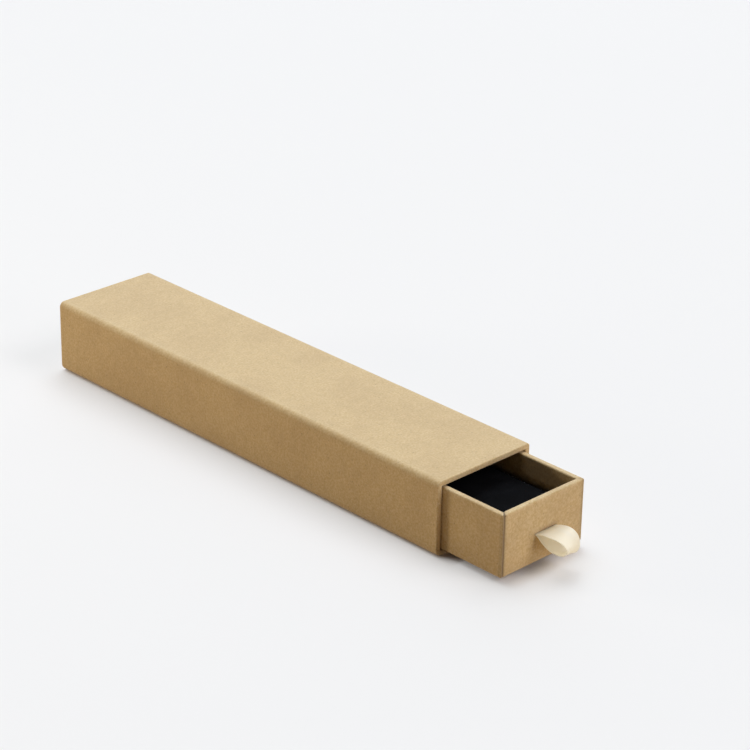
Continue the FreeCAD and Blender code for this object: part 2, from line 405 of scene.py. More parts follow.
def ramp(tree, value, low, high, to_low=0.0, to_high=1.0):
    """Stretches a value between two limits, smoothly."""
    inputs = {
        "Value": value, "From Min": low, "From Max": high, "To Min": to_low, "To Max": to_high,
    }
    node = add_node(tree, "ShaderNodeMapRange", inputs, interpolation_type="SMOOTHSTEP")
    return node.outputs["Result"]


def math_node(tree, operation, first, second):
    """A plain sum on two values."""
    return add_node(tree, "ShaderNodeMath", {0: first, 1: second}, operation=operation).outputs[0]


def times(tree, first, second):
    """One value multiplied by another."""
    return math_node(tree, "MULTIPLY", first, second)


def vector_node(tree, operation, first, second):
    """A plain sum on two vectors."""
    inputs = {0: first, 1: second}
    return add_node(tree, "ShaderNodeVectorMath", inputs, operation=operation).outputs[0]


def mix_colour(tree, mask, first, second):
    """Mixes two colours by a mask."""
    inputs = {0: mask, 6: first, 7: second}
    return add_node(tree, "ShaderNodeMix", inputs, data_type="RGBA").outputs[2]


def scaled(tint, factor, lift=0.0):
    """A colour made brighter or darker, but no brighter than white."""
    return tuple(min(channel * factor + lift, 1.0) for channel in tint)


def new_group(name, inputs, outputs):
    """An empty node group, with what its first node gives, and its last node."""
    tree = bpy.data.node_groups.new(name, "ShaderNodeTree")
    for label, kind, default in inputs:
        socket = tree.interface.new_socket(label, in_out="INPUT", socket_type=kind)
        if default is not None:
            socket.default_value = default
    for label, kind in outputs:
        tree.interface.new_socket(label, in_out="OUTPUT", socket_type=kind)
    start = add_node(tree, "NodeGroupInput")
    return tree, start.outputs, add_node(tree, "NodeGroupOutput")


def paper_grain_group():
    """Fibres, flecks and soft mottling of paper or board, built once for all of them."""
    name = "paper_grain"
    if name in bpy.data.node_groups:
        return bpy.data.node_groups[name]
    tree, given, end = new_group(
        name,
        (
            ("Coordinates", "NodeSocketVector", None),
            ("Base", "NodeSocketColor", (0.5, 0.4, 0.2, 1.0)),
            ("Pale", "NodeSocketColor", (0.7, 0.6, 0.4, 1.0)),
            ("Dark", "NodeSocketColor", (0.3, 0.2, 0.1, 1.0)),
            ("Grain Size", "NodeSocketFloat", 0.00045),
            ("Grain", "NodeSocketFloat", 0.3),
            ("Fibres", "NodeSocketFloat", 0.5),
        ),
        (
            ("Colour", "NodeSocketColor"),
            ("Roughness", "NodeSocketFloat"),
            ("Height", "NodeSocketFloat"),
        ),
    )
    coordinates = given["Coordinates"]
    mottle_size, cloud_size, curl_size = 3.2 * MM, 22 * MM, 1.6 * MM
    pale_hair_size, dark_hair_size, speck_size = 1.1 * MM, 1.4 * MM, 2.0 * MM
    curl, elsewhere = (1.1 * MM, 0.7 * MM, 1.6 * MM), (113 * MM, 71 * MM, 37 * MM)
    ridged = {"detail": 1.5, "noise_type": "RIDGED_MULTIFRACTAL"}
    scale = math_node(tree, "DIVIDE", 1.0, given["Grain Size"])
    fine_inputs = {"Vector": coordinates, "Scale": scale, "Detail": 3.0, "Roughness": 0.6}
    fine = add_node(tree, "ShaderNodeTexNoise", fine_inputs).outputs["Fac"]
    mottle = noise_node(tree, coordinates, mottle_size, 3.0, 0.55)
    cloud = noise_node(tree, coordinates, cloud_size)
    bend = noise_node(tree, coordinates, curl_size, 1.0)
    drawn = vector_node(tree, "ADD", coordinates, vector_node(tree, "MULTIPLY", bend, curl))
    pale_hairs = noise_node(tree, drawn, pale_hair_size, **ridged)
    far_drawn = vector_node(tree, "ADD", drawn, elsewhere)
    dark_hairs = noise_node(tree, far_drawn, dark_hair_size, **ridged)
    pale_mask = times(tree, ramp(tree, pale_hairs, 0.62, 0.95), ramp(tree, mottle, 0.42, 0.62))
    dark_mask = times(tree, ramp(tree, dark_hairs, 0.66, 0.98), ramp(tree, mottle, 0.58, 0.40))
    cell_inputs = {"Vector": coordinates, "Scale": 1 / speck_size, "Randomness": 1.0}
    cells = add_node(tree, "ShaderNodeTexVoronoi", cell_inputs).outputs["Distance"]
    speck = times(tree, ramp(tree, cells, 0.24, 0.08), ramp(tree, fine, 0.45, 0.6))
    grain = times(tree, ramp(tree, fine, 0.30, 0.70), given["Grain"])
    clouds = math_node(tree, "ADD", ramp(tree, mottle, 0.35, 0.68), ramp(tree, cloud, 0.38, 0.64))
    patch = times(tree, clouds, times(tree, given["Grain"], 0.18))
    shade = mix_colour(tree, grain, given["Base"], given["Pale"])
    shade = mix_colour(tree, patch, shade, given["Dark"])
    for mask, tone in ((pale_mask, "Pale"), (dark_mask, "Dark"), (speck, "Dark")):
        shade = mix_colour(tree, times(tree, mask, given["Fibres"]), shade, given[tone])
    roughness = ramp(tree, fine, 0.25, 0.75, 0.55, 0.76)
    relief = math_node(tree, "ADD", times(tree, fine, 0.7), times(tree, pale_mask, 0.5))
    relief = math_node(tree, "ADD", relief, times(tree, mottle, 0.8))
    feed(tree, end, {"Colour": shade, "Roughness": roughness, "Height": relief})
    return tree


def edge_rub_group():
    """Where handling has rubbed folded edges and corners paler, as a broken mask."""
    name = "edge_rub"
    if name in bpy.data.node_groups:
        return bpy.data.node_groups[name]
    tree, given, end = new_group(
        name,
        (
            ("Coordinates", "NodeSocketVector", None),
            ("Edge", "NodeSocketFloat", 0.0),
            ("Strength", "NodeSocketFloat", 0.5),
        ),
        (("Mask", "NodeSocketFloat"),),
    )
    patch_size, hair_size = 6 * MM, 0.5 * MM
    patches = noise_node(tree, given["Coordinates"], patch_size, 4.0, 0.65)
    hairs = noise_node(tree, given["Coordinates"], hair_size, 2.0, 0.6)
    mask = times(tree, ramp(tree, patches, 0.36, 0.62), ramp(tree, hairs, 0.30, 0.62))
    for part in ("Edge", "Strength"):
        mask = times(tree, mask, given[part])
    feed(tree, end, {"Mask": mask})
    return tree


def new_material(name):
    """A material with an empty tree, its main shader and its object coordinates."""
    material = bpy.data.materials.new(name)
    material.use_nodes = True
    tree = material.node_tree
    tree.nodes.clear()
    shader = add_node(tree, "ShaderNodeBsdfPrincipled")
    shader.location.x = 8 * NODE_WIDTH
    output = add_node(tree, "ShaderNodeOutputMaterial", {"Surface": shader.outputs["BSDF"]})
    output.location.x += NODE_WIDTH
    return material, tree, shader, add_node(tree, "ShaderNodeTexCoord").outputs["Object"]


def lay_over(tree, shader, share_over, over):
    """Lays a second shader over the main one by a share, and gives both to the output."""
    inputs = {0: share_over, 1: shader.outputs[0], 2: over.outputs[0]}
    both = add_node(tree, "ShaderNodeMixShader", inputs)
    feed(tree, tree.nodes["Material Output"], {"Surface": both.outputs[0]})


def seen_directly(tree):
    """1 for what the camera sees, straight or in a reflection, and 0 for other light."""
    light_path = add_node(tree, "ShaderNodeLightPath")
    kinds = [light_path.outputs[f"Is {kind} Ray"] for kind in ("Camera", "Glossy", "Transmission")]
    return math_node(tree, "MAXIMUM", math_node(tree, "MAXIMUM", *kinds[:2]), kinds[2])


def bump_into(tree, shader, height, distance):
    """Feeds a height, in parts of distance, to the shader's normal."""
    inputs = {"Height": height, "Distance": distance, "Strength": 1.0}
    feed(tree, shader, {"Normal": add_node(tree, "ShaderNodeBump", inputs).outputs["Normal"]})


def paper_material(name, base, pale, dark, grain, fibres, sheen=0.1):
    """Fibrous paper. Its rub and seam come from the piece's own attributes, where it has them. The
    seam mark darkens it with painted shade: in the sleeve's throats, and in the drawer's seams
    together with the paper's dark cut edge.
    """
    paper = bpy.context.scene.gift_paper
    material, tree, shader, coordinates = new_material(name)
    grain_inputs = {
        "Coordinates": coordinates, "Base": base, "Pale": pale, "Dark": dark,
        "Grain Size": paper.grain_size, "Grain": grain, "Fibres": fibres,
    }
    grained = add_node(
        tree, "ShaderNodeGroup", grain_inputs, node_tree=paper_grain_group()
    ).outputs
    edge, seam = (
        add_node(tree, "ShaderNodeAttribute", attribute_name=mark).outputs["Fac"]
        for mark in ("rub", "seam")
    )
    rub_inputs = {"Coordinates": coordinates, "Edge": edge, "Strength": paper.rub}
    rubbed = add_node(tree, "ShaderNodeGroup", rub_inputs, node_tree=edge_rub_group()).outputs
    shade = mix_colour(tree, rubbed["Mask"], grained["Colour"], pale)
    feed(tree, shader, {
        # The seam mark mixes toward a deep tone: painted shade, and at the drawer's seams also the
        # paper's dark cut edge.
        "Base Color": mix_colour(tree, seam, shade, scaled(dark, 0.35)),
        "Roughness": grained["Roughness"], "Specular IOR Level": 0.35,
        "Sheen Weight": sheen, "Sheen Roughness": 0.55,
    })
    bump_into(tree, shader, grained["Height"], paper.grain_height)
    return material


def kraft_material():
    """The kraft paper outside the sleeve and the drawer."""
    paper = bpy.context.scene.gift_paper
    name = "kraft_finish"
    if name in bpy.data.materials:
        return bpy.data.materials[name]
    tones = paper.kraft, paper.kraft_pale, paper.kraft_dark
    return paper_material(name, *tones, grain=0.7, fibres=0.8, sheen=0.2)


def mark_points(mesh_source, layer_name):
    """A number on every point of a mesh, for its material."""
    return mesh_source.verts.layers.float.new(layer_name)


class GIFT_OT_sleeve_cover(bpy.types.Operator):
    """Builds the kraft paper round the sleeve, folded over both lips and turned in"""

    bl_idname = "gift.sleeve_cover"
    bl_label = "Sleeve Cover"

    def execute(self, context):
        sizes = context.scene.gift_sleeve
        half_x, half_y, half_z = half_sizes(sleeve_low, sleeve_high)
        lip = sizes.lip_radius
        radii = (
            sizes.far_radius, sizes.near_radius, sizes.near_base_radius, sizes.base_radius,
        )
        radius = max(radii)
        close, step = (0.5 * MM, 1.2 * MM, 2.2 * MM), 1.8 * MM
        turn_steps = 10
        stations = ring_stations(
            half_x, half_z, radius, side_places(half_x - radius, step, close),
            side_places(half_z - radius, step, close), turn_steps,
        )
        profile = self.profile(half_y, sizes)

        mesh_source = bmesh.new()
        rub_layer = mark_points(mesh_source, "rub")
        # On the sleeve the seam mark holds only painted shade, in its throats.
        seam_and_shade_layer = mark_points(mesh_source, "seam")
        rings = []
        for inset, y, way_in, _, rub, throat_shade in profile:
            ring = []
            for station in stations:
                x, z = ring_place(station, half_x, half_z, radii, inset)
                from_corner = to_corner(station, half_x, half_z, radius)
                point = Vector((x, y, z + half_z))
                if way_in < 0 and inset == 0:
                    drawn = sizes.swell * smooth_step(from_corner, 0, 3 * MM)
                    face = Vector((station[2], 0, station[3]))
                    wave = 0.7 * board_wave(point, face, 28, 5.3)
                    wave += 0.3 * board_wave(point, face, 75, 9.1)
                    freedom = 0.35 + smooth_step(from_corner, 0, 6 * MM)
                    drawn += sizes.ripple * (0.5 + wave) * freedom
                    drawn = max(drawn, 0) * smooth_step(half_y - lip - abs(y), -1 * MM, 4 * MM)
                    point -= face * drawn
                vertex = mesh_source.verts.new(point)
                edge = 1 - smooth_step(from_corner, 0.2 * MM, 1.6 * MM)
                vertex[rub_layer] = max(rub, edge * 0.3 if way_in < 0 else 0.0)
                # The throat's painted shade goes into the seam mark.
                vertex[seam_and_shade_layer] = throat_shade
                ring.append(vertex)
            rings.append(ring)
        join_rings(mesh_source, rings, rings[1:] + rings[:1])
        piece = new_piece("sleeve_cover", mesh_source)
        finish_piece(piece, kraft_material(), "sleeve", "kraft_paper", "sleeve_wrap")
        return {"FINISHED"}

    @staticmethod
    def profile(half_y, sizes):
        """The paper's section along the sleeve, from the turn-in at +Y round both lips, and
        back inside itself: inset, place in Y, the way outward, how rubbed it is, and how much
        painted shade darkens it behind each lip."""
        paper, lip, throat = sizes.paper, sizes.lip_radius, sizes.throat_radius
        wall = wall_thickness(paper)
        turn_in_end = lining_high.y
        # Shares of the painted shade round each throat and down the inside behind each lip.
        throat_shade_shares = (0.0, 0.0, 0.15, 0.5, 0.85, 1.0, 1.0, 1.0, 1.0)
        inside_shade_shares = {0.4: 1.0, 1.2: 1.0, 3: 0.7, 6: 0.3, 10: 0.0}
        corner_out = arc_points((lip, half_y - lip), lip, 180, 90, 6)
        corner_in = arc_points((wall - throat, half_y - throat), throat, 90, 0, 8)
        end = [(*place, 1.0, 0.0) for place in corner_out]
        end += [
            (*place, 1.0 - throat_shade, throat_shade * sizes.throat_shade)
            for throat_shade, place in zip(throat_shade_shares, corner_in)
        ]
        end += [
            (wall, half_y - throat - gap * MM, 1, 0, 0.0, throat_shade * sizes.throat_shade)
            for gap, throat_shade in inside_shade_shares.items()
        ]
        end.append((wall, turn_in_end, 1, 0, 0.0, 0.0))
        front = [
            (inset, -y, way_in, -way_y, rub, throat_shade) for inset, y, way_in, way_y, rub, throat_shade in end
        ]
        places = side_places(half_y - lip, 2.4 * MM, (0.3 * MM, 0.9 * MM, 1.8 * MM))
        outside = [(0.0, y, -1, 0, 0.0, 0.0) for y in reversed(places)]
        board = wall - paper
        back_places = (
            (board, -turn_in_end), (board, -half_y + paper), (paper, -half_y + paper),
            (paper, half_y - paper), (board, half_y - paper), (board, turn_in_end),
        )
        back = [(inset, y, 0, 0, 0.0, 0.0) for inset, y in back_places]
        return end[::-1] + outside + front + back


class GIFT_OT_drawer_cover(bpy.types.Operator):
    """Builds the kraft paper under and round the drawer, with its rim, end flaps and slit"""

    bl_idname = "gift.drawer_cover"
    bl_label = "Drawer Cover"

    def execute(self, context):
        sizes = context.scene.gift_drawer
        paper = context.scene.gift_sleeve.paper
        half_x, half_y, _ = half_sizes(drawer_low, drawer_high)
        middle_y = (drawer_high.y + drawer_low.y) / 2
        low, high = drawer_low.z, drawer_high.z
        radius = sizes.edge_radius
        slit_middle = tails_high.z - context.scene.gift_ribbon.thickness
        slit_rows = slit_middle - sizes.slit_height / 2, slit_middle + sizes.slit_height / 2
        slit_ends = tails_low.x - sizes.slit_gap, tails_high.x + sizes.slit_gap

        seam_places = []
        for from_corner, _, _ in self.seam_steps(sizes):
            seam_places += [from_corner - half_x, half_x - from_corner]
        places_x = side_places(half_x - radius, 2 * MM, (), (*seam_places, *slit_ends))
        places_y = side_places(half_y - radius, 3.2 * MM, (0.4 * MM, 1.2 * MM))
        turn_steps = 6
        stations = ring_stations(half_x, half_y, radius, places_x, places_y, turn_steps)
        profile = self.profile(paper, slit_rows, sizes)

        mesh_source = bmesh.new()
        rub_layer = mark_points(mesh_source, "rub")
        seam_and_shade_layer = mark_points(mesh_source, "seam")
        rings = []
        for inset, z, way_in, way_z, rub in profile:
            ring = []
            for station in stations:
                share_x, _, way_x, way_y = station
                from_corner = to_corner(station, half_x, half_y, radius)
                recess = seam_edge_and_shade = 0.0
                on_skin = way_in != 0 or way_z != 0
                if on_skin:
                    place_x = share_x * (half_x - radius)
                    # Beside each end flap's seam the skin dips and is darkened: partly the paper's
                    # dark cut edge, partly painted shade in the groove.
                    recess, seam_edge_and_shade = self.seam_at(half_x - abs(place_x), place_x > 0, sizes)
                    recess, seam_edge_and_shade = recess * abs(way_y), seam_edge_and_shade * abs(way_y)
                    # Next to the front and back corners the side faces are painted darker too:
                    # painted shade.
                    if way_y == 0:
                        seam_edge_and_shade = 0.3 * (1 - smooth_step(from_corner, 0, 1.3 * MM))
                depth = max(inset - recess * way_in, 0)
                x, y = ring_place(station, half_x, half_y, (radius,) * 4, depth)
                point = Vector((x, middle_y + y, z - recess * way_z))
                if way_in == -1 and (way_x == 0 or way_y == 0):
                    away = min(from_corner, z - low, high - z)
                    face = Vector((way_x, way_y, 0))
                    wave = 0.5 + 0.8 * board_wave(point, face, 45, 3.7)
                    rise = sizes.ripple * max(wave, 0)
                    point -= face * rise * smooth_step(away, 1 * MM, 6 * MM)
                vertex = mesh_source.verts.new(point)
                corner = 0.2 if way_x != 0 and way_y != 0 else 0.0
                vertex[rub_layer] = max(rub, corner) if on_skin else 0.0
                vertex[seam_and_shade_layer] = seam_edge_and_shade
                ring.append(vertex)
            rings.append(ring)

        in_slit = [
            index for index, (share_x, _, way_x, way_y) in enumerate(stations)
            if way_y == -1 and way_x == 0
            and slit_ends[0] - TINY < share_x * (half_x - radius) < slit_ends[1] + TINY
        ]
        places = [row[:2] for row in profile]
        outer = [places.index((0.0, z)) for z in slit_rows]
        inner = [places.index((paper, z)) for z in slit_rows]
        self.cover_faces(mesh_source, rings, in_slit, outer, inner)
        piece = new_piece("drawer_cover", mesh_source)
        finish_piece(piece, kraft_material(), "drawer", "kraft_paper", "drawer_wrap")
        return {"FINISHED"}

    @staticmethod
    def profile(paper, slit_rows, sizes):
        """The paper's section, from under the bottom up the outside, over the rim, down the
        inside and back inside itself: inset, height, the way outward, and how rubbed it is."""
        low, high = drawer_low.z, drawer_high.z
        radius, rim = sizes.edge_radius, sizes.rim_radius
        wall = wall_thickness(paper)
        turn_in_end = high - sizes.turn_in
        bottom = [(sizes.under, low, 0, -1, 0.0)]
        bottom += [(gap * MM, low, 0, -1, 0.0) for gap in (14, 9, 5, 2.4, 1.0)]
        edge_turn = arc_points((radius, low + radius), radius, 270, 180, 5)
        edge = [(*place, 0.7) for place in edge_turn]
        height_shares = (0.04, 0.10, 0.20, 0.30, 0.56, 0.66, 0.76, 0.85, 0.92)
        steps = sorted((*slit_rows, *(low + (high - low) * part for part in height_shares)))
        outside = [(0.0, z, -1, 0, 0.0) for z in steps]
        rim_out = arc_points((rim, high - rim), rim, 180, 90, 6)
        rim_in = arc_points((wall - rim, high - rim), rim, 90, 0, 6)
        over = [(*place, 1.0) for place in rim_out]
        over += [(wall / 2, high, 0, 1, 0.6)]
        over += [(*place, 0.8) for place in rim_in]
        inside = [(wall, high - rim - gap * MM, 1, 0, 0.0) for gap in (0.4, 1.2, 3, 6)]
        inside.append((wall, turn_in_end, 1, 0, 0.0))
        back_places = (
            (wall - paper, turn_in_end), (wall - paper, high - paper), (paper, high - paper),
            (paper, slit_rows[1]), (paper, slit_rows[0]), (paper, low + paper),
            (sizes.under, low + paper),
        )
        back = [(inset, z, 0, 0, 0.0) for inset, z in back_places]
        return bottom + edge + outside + over + inside + back

    @staticmethod
    def cover_faces(mesh_source, rings, in_slit, outer, inner):
        """Joins the rings but leaves the slit open, and lines the slit's four sides. outer and
        inner are the rings below and above the slit, on the skin and behind it."""
        open_places = {(row, index) for row in (outer[0], inner[1]) for index in in_slit[:-1]}
        for row, (ring, after) in enumerate(zip(rings, rings[1:])):
            for index in range(len(ring)):
                if (row, index) not in open_places:
                    ring_face(mesh_source, ring, after, index)
        mesh_source.faces.new(rings[0])
        mesh_source.faces.new(rings[-1])
        for skin, behind in zip(outer, inner):
            for index in in_slit[:-1]:
                mesh_source.faces.new((
                    rings[skin][index], rings[skin][index + 1],
                    rings[behind][index + 1], rings[behind][index],
                ))
        for index in (in_slit[0], in_slit[-1]):
            mesh_source.faces.new((
                rings[outer[0]][index], rings[outer[1]][index],
                rings[inner[1]][index], rings[inner[0]][index],
            ))

    @staticmethod
    def seam_steps(sizes):
        """Across a seam towards its corner: the distance from it, the depth, and how dark, which
        is partly the paper's dark cut edge and partly painted shade in the groove.
        """
        middle, deep = sizes.seam, 1.15 * sizes.flap
        return (
            (middle + 1.7 * MM, 0.0, 0.0), (middle + 0.8 * MM, 0.0, 0.14),
            (middle + 0.3 * MM, 0.2 * deep, 0.5), (middle + 0.12 * MM, deep, 0.9),
            (middle - 0.12 * MM, deep, 0.9), (middle - 0.3 * MM, 0.4 * deep, 0.6),
        )

    def seam_at(self, from_corner, right, sizes):
        """How deep the skin lies there, and how dark: partly the cut edge, partly painted shade in
        the groove. The seams on the right are pressed flat.
        """
        steps = self.seam_steps(sizes)
        depth = dark = 0.0
        if from_corner <= steps[-1][0]:
            depth, dark = steps[-1][1:]
        for (far, far_depth, far_dark), (near, near_depth, near_dark) in zip(steps, steps[1:]):
            if near <= from_corner <= far:
                part = (far - from_corner) / (far - near)
                depth = far_depth + (near_depth - far_depth) * part
                dark = far_dark + (near_dark - far_dark) * part
        pressed = 0.35 if right else 1.0
        return depth * pressed, dark * pressed


def swell_as_cloth(piece, low, high, sizes):
    """Blows a closed pad up as cloth with air inside, and keeps it in its own space."""
    scene = bpy.context.scene
    even = piece.modifiers.new("even", "REMESH")
    even.mode, even.voxel_size, even.use_smooth_shade = "VOXEL", sizes.cloth_step, True
    take_shape(piece)
    points = piece.data.vertices
    before = [point.co.copy() for point in points]
    after = before
    cloth = piece.modifiers.new("swell", "CLOTH").settings
    cloth.use_pressure = True
    cloth.uniform_pressure_force = sizes.air
    cloth.effector_weights.gravity = 0.0
    # Cloth is worked out frame by frame, so each one is visited in turn.
    for number in range(sizes.steps):
        scene.frame_set(number + 1)
    evaluated = piece.evaluated_get(bpy.context.evaluated_depsgraph_get())
    after = [point.co.copy() for point in evaluated.data.vertices]
    piece.modifiers.clear()
    scene.frame_set(1)
    for point, start, end in zip(points, before, after):
        move = end - start
        if move.length > sizes.swell:
            move.length = sizes.swell
        for axis in range(3):
            point.co[axis] = min(max(start[axis] + move[axis], low[axis]), high[axis])
    piece.modifiers.new("finer", "SUBSURF").levels = 1
    take_shape(piece)


def open_below(piece, low, high, sizes):
    """Cuts the window under the pad, and gives the velvet its thickness inward."""
    skin = bmesh.new()
    skin.from_mesh(piece.data)
    edge = sizes.turn_under
    window = []
    for face in skin.faces:
        x, y, z = face.calc_center_median()
        within = low.x + edge < x < high.x - edge and low.y + edge < y < high.y - edge
        if within and z < low.z + 2 * sizes.velvet:
            window.append(face)
    bmesh.ops.delete(skin, geom=window, context="FACES")
    skin.to_mesh(piece.data)
    skin.free()
    thickness = piece.modifiers.new("thickness", "SOLIDIFY")
    thickness.thickness, thickness.offset = sizes.velvet, -1.0
    take_shape(piece)


def pad_skin(name, inset):
    """The pad's closed shape, drawn in by inset: crowned above, its sides pulled in."""
    sizes = bpy.context.scene.gift_pad
    half_x, half_y, _ = (half - inset for half in half_sizes(pad_low, pad_high))
    middle_y = (pad_high.y + pad_low.y) / 2
    low, high = pad_low.z + inset, pad_high.z - inset - sizes.crown
    radius = sizes.shoulder
    stations = ring_stations(
        half_x, half_y, radius, side_places(half_x - radius, 2.4 * MM),
        side_places(half_y - radius, 2.4 * MM), 4,
    )
    foot, foot_rise = 0.8 * MM, 0.2 * MM
    profile = [(half_x - gap * MM, low) for gap in (1.6, 5, 9, 13)]
    profile += [(foot, low), (foot_rise, low + foot_rise)]
    count = 6
    for step in range(1, count):
        part = step / count
        draw = sizes.draw * math.sin(part * math.pi)
        profile.append((draw, low + (high - radius - low) * part))
    shoulder = arc_points((radius, high - radius), radius, 180, 90, 5)
    profile += [place[:2] for place in shoulder]
    for gap in (13, 10.5, 8, 5.5, 3.5, 1.6):
        inward = half_x - gap * MM
        rise = sizes.crown * (1 - (gap * MM / half_x) ** 2)
        profile.append((inward, high + rise))
    mesh_source = bmesh.new()
    rings = []
    for inward, z in profile:
        ring = []
        for station in stations:
            x, y = ring_place(station, half_x, half_y, (radius,) * 4, inward)
            ring.append(mesh_source.verts.new((x, middle_y + y, z)))
        rings.append(ring)
    join_rings(mesh_source, rings, rings[1:])
    mesh_source.faces.new(rings[0])
    mesh_source.faces.new(rings[-1])
    return new_piece(name, mesh_source)


class GIFT_OT_pad(bpy.types.Operator):
    """Builds the foam and the velvet drawn over it"""

    bl_idname = "gift.pad"
    bl_label = "Velvet Pad"

    def execute(self, context):
        sizes = context.scene.gift_pad
        foam = pad_skin("foam_core", 2 * sizes.velvet)
        finish_piece(foam, self.foam_material(sizes), "drawer", "black_foam", "foam_pad")
        velvet = pad_skin("velvet_pad", sizes.slack)
        swell_as_cloth(velvet, pad_low, pad_high + Vector((0, 0, sizes.swell)), sizes)
        open_below(velvet, pad_low, pad_high, sizes)
        finish_piece(velvet, self.velvet_material(sizes), "drawer", "black_velvet", "pad_cover")
        return {"FINISHED"}

    @staticmethod
    def velvet_material(sizes):
        """Short black pile whose nap lies in slightly different ways."""
        material, tree, shader, coordinates = new_material("velvet_finish")
        nap = noise_node(tree, coordinates, sizes.nap, 3.0, 0.55)
        tufts = noise_node(tree, coordinates, sizes.tuft, 2.0, 0.7)
        mask = ramp(tree, nap, 0.38, 0.66)
        feed(tree, shader, {
            "Base Color": mix_colour(tree, mask, sizes.pile, scaled(sizes.pile, 2.2)),
            "Roughness": ramp(tree, tufts, 0.3, 0.7, 0.85, 1.0), "Specular IOR Level": 0.04,
            "Sheen Weight": 0.025, "Sheen Roughness": 0.35, "Sheen Tint": (0.55, 0.55, 0.65),
        })
        bump_into(tree, shader, math_node(tree, "ADD", tufts, nap), sizes.pile_height)
        return material

    @staticmethod
    def foam_material(sizes):
        """Open black foam with small pores, whose pits are painted darker as painted shade."""
        material, tree, shader, coordinates = new_material("foam_finish")
        inputs = {"Vector": coordinates, "Scale": 1 / sizes.pore}
        pores = add_node(tree, "ShaderNodeTexVoronoi", inputs).outputs["Distance"]
        # Painted shade: the pits of the pores are painted darker than the foam round them.
        deep, lighter = scaled(sizes.foam, 0.4), scaled(sizes.foam, 2.0)
        shade = mix_colour(tree, ramp(tree, pores, 0.1, 0.6), deep, lighter)
        feed(tree, shader, {"Base Color": shade, "Roughness": 0.95})
        bump_into(tree, shader, pores, sizes.pore_depth)
        return material


# Middle line of the ribbon along its left and right edges: out from the panel and up from
# the slit, as shares of the loop's reach. The right edge reaches less and hangs lower.
left_edge_shares = (
    (0.18, 0.066), (0.40, 0.085), (0.63, 0.102), (0.86, 0.078), (0.975, 0.010),
    (0.985, -0.095), (0.90, -0.195), (0.76, -0.250), (0.60, -0.268), (0.42, -0.245),
    (0.22, -0.155),
)
right_edge_shares = (
    (0.18, 0.072), (0.36, 0.112), (0.54, 0.098), (0.68, 0.010), (0.745, -0.130),
    (0.74, -0.290), (0.66, -0.435), (0.52, -0.510), (0.38, -0.455), (0.25, -0.310),
    (0.12, -0.130),
)


def lengths_along(points):
    """How far along a line of points each one is."""
    along = [0.0]
    for first, second in zip(points, points[1:]):
        along.append(along[-1] + (second - first).length)
    return along


def smooth_line(points, count):
    """Count points, evenly spaced, on a smooth curve through the given ones."""
    points = [Vector(point) for point in points]
    ends = [points[0] * 2 - points[1]] + points + [points[-1] * 2 - points[-2]]
    fine = []
    steps = 24
    for before, first, second, after in zip(ends, ends[1:], ends[2:], ends[3:]):
        for step in range(steps):
            part = step / steps
            fine.append(0.5 * (
                2 * first + (second - before) * part
                + (2 * before - 5 * first + 4 * second - after) * part ** 2
                + (3 * first - before - 3 * second + after) * part ** 3
            ))
    fine.append(points[-1])
    travelled = lengths_along(fine)
    line = []
    index = 0
    for number in range(count):
        target = travelled[-1] * number / (count - 1)
        while index < len(fine) - 2 and travelled[index + 1] < target:
            index += 1
        span = travelled[index + 1] - travelled[index]
        line.append(fine[index].lerp(fine[index + 1], min((target - travelled[index]) / span, 1)))
    return line


